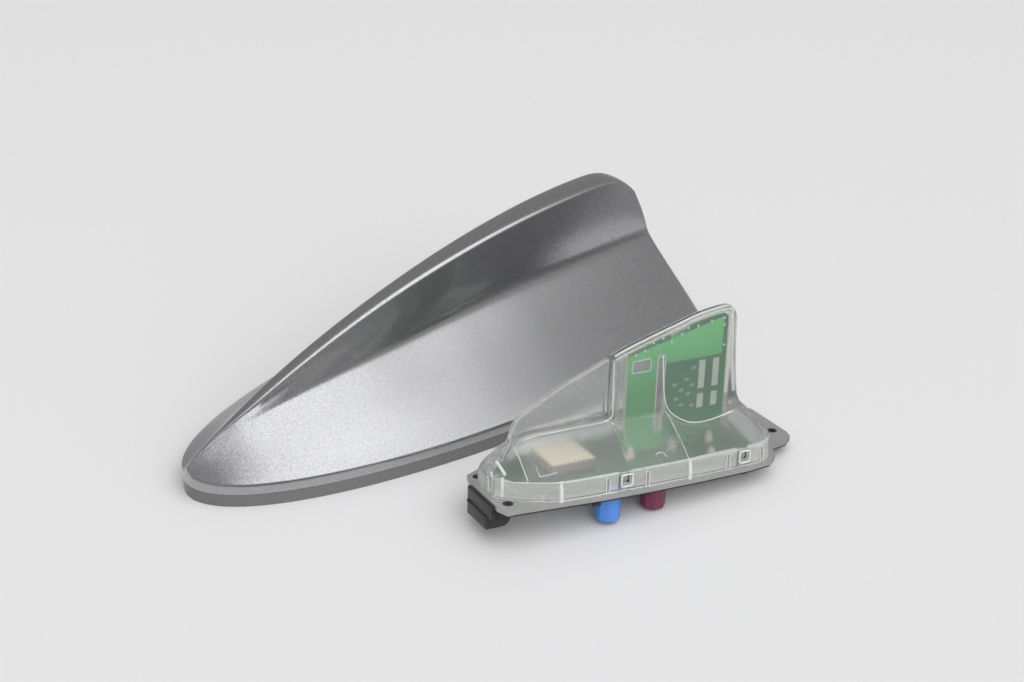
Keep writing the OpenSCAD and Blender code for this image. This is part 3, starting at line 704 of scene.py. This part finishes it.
def buildClearCover(v=clearShape):
    # stations where the form turns, filled in at an even spacing
    marks = [-3, -1.4, 0.2, 1.8, 3.4, 4.2, 5, 5.8, 6.8, 9, 11.6, 14.3, 18, 23, 30, 37.2, 37.8, 39.2, 43.4,
             48.9, 52, 54.4, 55.6, 57, 59.5, 62.5, 66.6, 72, 76, 78.6, 79.8, 80.5, 80.9, 81.1, 81.9, 83.1,
             84.2, 85.7, 87.6, 89.2, 90.4, 91.2]
    spacing = 1.2
    steps = []
    for a, b in zip(marks, marks[1:]):
        parts = max(1, round((b - a) / spacing))
        steps += [a + (b - a) * i / parts for i in range(parts)]
    steps.append(marks[-1])
    bm = loftShell([clearSection(s, False) for s in steps], [clearSection(s, True) for s in steps])
    cover = finish("clearInnerCover", bm, clearPlastic, ["clear_cover"], unitMatrix,
                   smooth=32)
    # windows and slits are cut through the skirt
    cutters = bmesh.new()
    for sign in (-1, 1):
        for places, width, low, high in ((v["windows"], v["window"], v["windowLow"], v["windowHigh"]),
                                         (v["slits"], v["slit"], -1, v["slitTop"])):
            for x in places:
                y, half = sign * (skirtHalf(x) - v["wall"] / 2), width / 2
                addBox(cutters, (x - half, y - v["cutReach"], low), (x + half, y + v["cutReach"], high))
    cutter = finish("clearCutter", cutters, clearPlastic, (), unitMatrix, smooth=0)
    cut = cover.modifiers.new("openings", "BOOLEAN")
    cut.operation, cut.object, cut.solver = "DIFFERENCE", cutter, "EXACT"
    carved = bpy.data.meshes.new_from_object(cover.evaluated_get(bpy.context.evaluated_depsgraph_get()))
    cover.modifiers.clear()
    cover.data = carved
    bpy.data.objects.remove(cutter)
    return cover


clearCover = buildClearCover()
print("stage: clear cover made", len(clearCover.data.polygons))

# Fine edges of the clear cover: beads along its corners, rims round its windows. The corners are real;
# their paler plastic paints the bright highlight lines along them.
beadValues = {"thin": 0.13, "plain": 0.19, "bold": 0.3, "band": 0.5, "bottomHeight": 0.5,
              "bottomInset": 0.1}
bandValues = {"inWall": ([(80.0, 0, 44.6), (80.45, 0, 38.9), (81.25, 0, 27.2), (82.4, 0, 17.6)],
                         [(-1.0, -1.2, 6.1), (-1.0, -1.2, 3), (-1.0, -1.2, 0.4)],
                         [(-0.5, -6.7, 7.0), (-0.5, -6.8, 4.5), (-0.5, -6.8, 1.2)],
                         [(0.6, -0.6, 9.3), (0.6, -3.2, 8.7), (0.6, -6.2, 7.6)]),
              "crestFrom": 39.5, "crestStep": 2, "crestCount": 21, "crestDrop": 0.6, "crestShare": 0.85,
              "rearBar": ((78.95, -0.9, 17.5), (80.1, 0.9, 43.2)), "rearRound": 0.2}
linerValues = {"parts": ((-1.4, 33.4), (37.6, 74.4), (78.6, 87.5)), "inset": 1.6, "low": 0.5, "high": 5.6,
               "thick": 0.4}
rimValues = {"margin": 0.3, "low": 1.7, "high": 5.5, "lift": 0.15, "cornerShares": (0.12, 0.5, 0.88),
             "slitSides": (-0.55, 0.55), "slitLift": 0.05, "slitHeights": (0.2, 3, 5.1)}
gussetValues = {"places": (14.4, 57.0), "thick": 1.0, "round": 0.15,
                "outline": ((-0.8, 0.02), (0.6, 0.02), (0.6, 2.6), (-0.3, 6.6), (-0.8, 6.2))}
finContour = [(54.5, -3.1, 34.8), (55.0, -3.1, 28), (55.5, -3.1, 23.4), (56.8, -3.1, 18),
              (59.9, -3.2, 14.2), (65.8, -3.3, 10.9), (72.3, -3.3, 10.3), (81.2, -3.3, 11.8)]
frontCorner = [(37.6, -3.1, 35), (37.6, -3.1, 26), (37.9, -3.1, 20), (37.5, -3.1, 17.6), (35.2, -3.1, 16.7)]
cornerBracket = [(7.5, -12.2, 11.6), (8.4, -12.6, 8.6), (9.6, -12.9, 8.3), (13.6, -13.6, 9)]
roundMark = [(46.3, -14.9, 8.6), (47.4, -14.6, 9.2), (49.0, -14.8, 8.8), (50.0, -15.6, 7.6)]


def nearSkin(s, index):
    # a point of the outer skin on the near side, counted from the rim up
    return clearSection(s, False)[index]


def alongSkin(start, end, index, step=1.5):
    count = max(2, round((end - start) / step))
    return [nearSkin(mix(start, end, k / count), index) for k in range(count + 1)]


def buildEdgeBeads(v=beadValues):
    bm = bmesh.new()
    near = [(alongSkin(8, 37, 11), v["plain"]), (alongSkin(-1, 89, 3), v["thin"]),
            (alongSkin(3, 37, 29), v["thin"]), (alongSkin(39, 78.5, 27), v["thin"]),
            ([nearSkin(56.5, k) for k in range(3, 22)], v["thin"]),
            ([nearSkin(5.6, k) for k in range(4, 14)], v["plain"])]
    beads = near + [(mirrored(points), radius) for points, radius in near]
    bottom = [Vector((p.x, p.y - v["bottomInset"], v["bottomHeight"])) for p in alongSkin(-2.6, 90.6, 0)]
    beads += [(bottom, v["thin"]), (mirrored(bottom), v["thin"])]
    beads += [(throughPoints(cornerBracket, 3), v["thin"]), (throughPoints(roundMark, 4), v["thin"])]
    for points, radius in beads:
        addTube(bm, points, radius)
    return finish("clearEdgeBeads", bm, clearEdge, (), unitMatrix, smooth=60)


def buildLiner(v=linerValues):
    # a low inner wall behind the skirt, open at the windows
    bm = bmesh.new()
    for side in (-1, 1):
        for start, end in v["parts"]:
            rings = []
            count = max(8, round(end - start))
            for k in range(count + 1):
                x = mix(start, end, k / count)
                y = skirtHalf(x) - v["inset"]
                back = y - v["thick"]
                corners = ((y, v["low"]), (y, v["high"]), (back, v["high"]), (back, v["low"]))
                ring = [bm.verts.new((x, side * a, b)) for a, b in corners]
                rings.append([bm.edges.new((a, b)) for a, b in zip(ring, ring[1:] + ring[:1])])
            bridgeRings(bm, rings)
    bmesh.ops.recalc_face_normals(bm, faces=bm.faces)
    return finish("skirtLiner", bm, clearEdge, (), unitMatrix, smooth=60)


def buildMilkyBands(v=bandValues):
    # thick corners, where the plastic looks paler; the pale plastic also paints their highlight
    bm = bmesh.new()
    band, plain = beadValues["band"], beadValues["plain"]
    paths = [(throughPoints(path, 4), band) for path in v["inWall"]]
    crest = [nearSkin(v["crestFrom"] + v["crestStep"] * k, 30) for k in range(v["crestCount"])]
    paths.append(([Vector((p.x, 0, p.z - v["crestDrop"])) for p in crest], band * v["crestShare"]))
    paths += [(throughPoints(finContour, 5), plain), (throughPoints(frontCorner, 5), plain)]
    for points, radius in paths:
        addTube(bm, points, radius)
    addBox(bm, *v["rearBar"], v["rearRound"])
    bmesh.ops.recalc_face_normals(bm, faces=bm.faces)
    return finish("milkyBands", bm, milkyEdge, (), unitMatrix, smooth=60)


def buildWindowRims(v=rimValues):
    bm = bmesh.new()
    half = clearShape["window"] / 2 + v["margin"]
    for side in (-1, 1):
        for x in clearShape["windows"]:
            y = side * (skirtHalf(x) + v["lift"])
            corners = [(x + a, y, b) for a, b in ((-half, v["low"]), (half, v["low"]), (half, v["high"]),
                                                  (-half, v["high"]))]
            addTube(bm, ringPath(corners, v["cornerShares"]), beadValues["bold"], closed=True)
        for x in clearShape["slits"]:
            y = side * (skirtHalf(x) + v["slitLift"])
            for shift in v["slitSides"]:
                addTube(bm, [Vector((x + shift, y, z)) for z in v["slitHeights"]], beadValues["thin"])
    return finish("clearWindowRims", bm, milkyEdge, (), unitMatrix, smooth=60)


def buildGussets(v=gussetValues):
    bm = bmesh.new()
    for side in (-1, 1):
        for x in v["places"]:
            y = skirtHalf(x)
            verts = [bm.verts.new((x - v["thick"] / 2, side * (y + a), b)) for a, b in v["outline"]]
            face = bmesh.ops.contextual_create(bm, geom=verts)["faces"]
            grown = bmesh.ops.extrude_face_region(bm, geom=face)["geom"]
            moved = [g for g in grown if isinstance(g, bmesh.types.BMVert)]
            bmesh.ops.translate(bm, vec=(v["thick"], 0, 0), verts=moved)
    bmesh.ops.recalc_face_normals(bm, faces=bm.faces)
    bmesh.ops.bevel(bm, geom=list(bm.edges), offset=v["round"], segments=2, profile=0.5, material=-1,
                    affect="EDGES")
    return finish("clearGussets", bm, milkyEdge, (), unitMatrix, smooth=40)


buildEdgeBeads()
buildMilkyBands()
buildLiner()
buildWindowRims()
buildGussets()
print("stage: edges of the clear cover made")

# Small things on the boards
viaValues = {"places": [(52.1, 38.3), (55.4, 39.2), (62.0, 39.6), (67.7, 41.4), (72.5, 42.3), (77.0, 42.6),
                        (77.2, 40.3), (77.6, 33.8), (58.5, 37.6), (46.2, 35.4), (49.2, 36.3)],
             "foot": 0.42, "top": 0.34, "height": 0.12, "depth": -0.84, "sides": 16,
             "frames": (((45.2, 29.6), (51.6, 33.4)), ((54.0, 9.0), (56.6, 33.6))), "frameDepth": -0.82,
             "frameBead": 0.17, "cornerShares": (0.06, 0.5, 0.94)}
holeShadeValues = {"holes": ((0, 9.65), (0, -9.65), (100, 0.7)), "sides": 40,
                 "profile": ((0.85, -1.3), (0.85, -0.1), (1.0, 0.06), (1.42, 0.12), (1.6, 0.03),
                             (1.62, 0.0), (1.46, -0.02), (1.46, -1.3))}  # radius and height
roundedPieces = {"front_hook": ("hookRounded", blackPlastic, "black_plastic", 0.0004),
                 "blue_housing": ("blueHousingRounded", bluePlastic, "blue_plastic", 0.0002),
                 "red_housing": ("redHousingRounded", redPlastic, "red_plastic", 0.0002),
                 "gps_patch": ("patchRounded", ceramic, "ceramic", 0.0003)}


def buildVias(v=viaValues):
    bm = bmesh.new()
    flat = Matrix.Rotation(math.radians(90), 4, "X")
    for x, z in v["places"]:
        place = Matrix.Translation((x, v["depth"], z)) @ flat
        bmesh.ops.create_cone(bm, cap_ends=True, segments=v["sides"], radius1=v["foot"], radius2=v["top"],
                              depth=v["height"], matrix=place)
    # pale frames round the board's window and slot
    y = v["frameDepth"]
    for (left, low), (right, high) in v["frames"]:
        corners = [(left, y, low), (right, y, low), (right, y, high), (left, y, high)]
        addTube(bm, ringPath(corners, v["cornerShares"]), v["frameBead"], closed=True)
    return finish("finBoardVias", bm, tinned, (), unitMatrix, smooth=30)


def buildHoleShades(v=holeShadeValues):
    # dark rings of black rubber lining the three fixing holes: painted shade for the shadow inside the
    # holes
    bm = bmesh.new()
    for x, y in v["holes"]:
        rings = [addRing(bm, v["sides"], radius, Matrix.Translation((x, y, z)))
                 for radius, z in v["profile"]]
        bridgeRings(bm, rings, closed=True)
    bmesh.ops.recalc_face_normals(bm, faces=bm.faces)
    return finish("holeShadeRings", bm, blackRubber, (), unitMatrix, smooth=30)


buildVias()
buildHoleShades()
for nodeName, (pieceName, material, slotName, width) in roundedPieces.items():
    bevelledCopy(nodeName, pieceName, material, width)
print("stage: small pieces made")

# Stage: floor, light and camera
stageValues = {"floorColour": (0.82, 0.82, 0.83), "floorFar": (0.38, 0.38, 0.39),
               "floorDark": (0.07, 0.07, 0.075), "floorRoughness": 0.3, "floorShine": 0.25, "floorSize": 4,
               "nearArea": (0.135, 0.055, 1), "nearFade": (1.0, 1.8), "wedgePlace": (0.04, 0.027, 0),
               "wedgeSide": (0.438, -0.899, 0), "wedgeFade": (0.93, 0.985), "lens": 63.28, "sensor": 36,
               "eye": (-0.31023, -0.37554, 0.3150), "target": (0.04047, 0.04236, 0.0)}
# Each patch of the room has its direction, the two cosines between which it fades, and its two levels
roomValues = {"ceiling": ((-0.080, -0.568, 0.819), 0.58, 0.99, 0.38, 2.35),
              "bright": (((0.041, -0.491, 0.87), 0.818, 0.998, 0.37, 1.86),
                         ((0.194, -0.124, 0.973), 0.943, 0.994, 0.37, 2.15)),
              "dim": (((0.469, -0.883, 0.0), 0.93, 0.995, 1.0, 0.5),
                      ((0.3, 0.85, 0.43), 0.3, 0.8, 1.0, 0.78),
                      ((-0.347, -0.831, 0.435), 0.867, 0.94, 1.0, 0.4))}


def toward(tree, where, side):
    # how nearly each direction is the given one
    return vectorMaths(tree, "DOT_PRODUCT", where, Vector(side).normalized())


def buildFloor(v):
    bm = bmesh.new()
    bmesh.ops.create_grid(bm, x_segments=1, y_segments=1, size=v["floorSize"])
    mesh = bpy.data.meshes.new("floor")
    bm.to_mesh(mesh)
    bm.free()
    floor = bpy.data.objects.new("floor", mesh)
    scene.collection.objects.link(floor)
    material, tree, shader = newMaterial("paleTable", Roughness=v["floorRoughness"],
                                         Specular_IOR_Level=v["floorShine"])
    mesh.materials.append(material)
    # gloss sees a darker table away from the cover
    where = onObject(tree)
    near = addNode(tree, "ShaderNodeMapping", vector_type="TEXTURE")
    near.inputs["Scale"].default_value = v["nearArea"]
    tree.links.new(where, near.inputs["Vector"])
    reach = vectorMaths(tree, "LENGTH", near.outputs["Vector"])
    gloss = addNode(tree, "ShaderNodeLightPath").outputs["Is Glossy Ray"]
    away = maths(tree, "MULTIPLY", gloss, ramp(tree, reach, *v["nearFade"], curve="SMOOTHSTEP"))
    colour = mixColours(tree, away, v["floorColour"], v["floorFar"])
    # and darkest in a wedge where the flank mirrors it
    apart = vectorMaths(tree, "NORMALIZE", vectorMaths(tree, "SUBTRACT", where, v["wedgePlace"]))
    inside = ramp(tree, toward(tree, apart, v["wedgeSide"]), *v["wedgeFade"], curve="SMOOTHSTEP")
    dark = maths(tree, "MULTIPLY", gloss, inside)
    tree.links.new(mixColours(tree, dark, colour, v["floorDark"]), shader.inputs["Base Color"])


def buildRoom(v):
    # an even room with a broad bright ceiling, which gloss sees as smaller patches over a dim horizon
    world = bpy.data.worlds.new("studio")
    world.use_nodes = True
    scene.world = world
    tree = world.node_tree
    back = tree.nodes["Background"]
    where = addNode(tree, "ShaderNodeTexCoord").outputs["Generated"]

    def patch(side, edge, core, low, high):
        return ramp(tree, toward(tree, where, side), edge, core, low, high, curve="SMOOTHSTEP")

    seen = maths(tree, "MAXIMUM", *(patch(*part) for part in v["bright"]))
    for part in v["dim"]:
        seen = maths(tree, "MULTIPLY", seen, patch(*part))
    chosen = addNode(tree, "ShaderNodeMix", data_type="FLOAT")
    gloss = addNode(tree, "ShaderNodeLightPath").outputs["Is Glossy Ray"]
    for name, part in (("Factor", gloss), ("A", patch(*v["ceiling"])), ("B", seen)):
        tree.links.new(part, chosen.inputs[name])
    tree.links.new(chosen.outputs["Result"], back.inputs["Strength"])
    back.inputs["Color"].default_value = (1, 1, 1, 1)


def buildCamera(v):
    camera = bpy.data.objects.new("camera", bpy.data.cameras.new("camera"))
    scene.collection.objects.link(camera)
    camera.data.lens = v["lens"]
    camera.data.sensor_width = v["sensor"]
    camera.location = v["eye"]
    ahead = Vector(v["target"]) - Vector(v["eye"])
    camera.rotation_euler = ahead.to_track_quat("-Z", "Y").to_euler()
    camera.data.clip_start, camera.data.clip_end = 0.01, 30
    scene.camera = camera


buildFloor(stageValues)
buildRoom(roomValues)
buildCamera(stageValues)
scene.view_settings.view_transform = "Standard"
print("stage: stage, light and camera made")
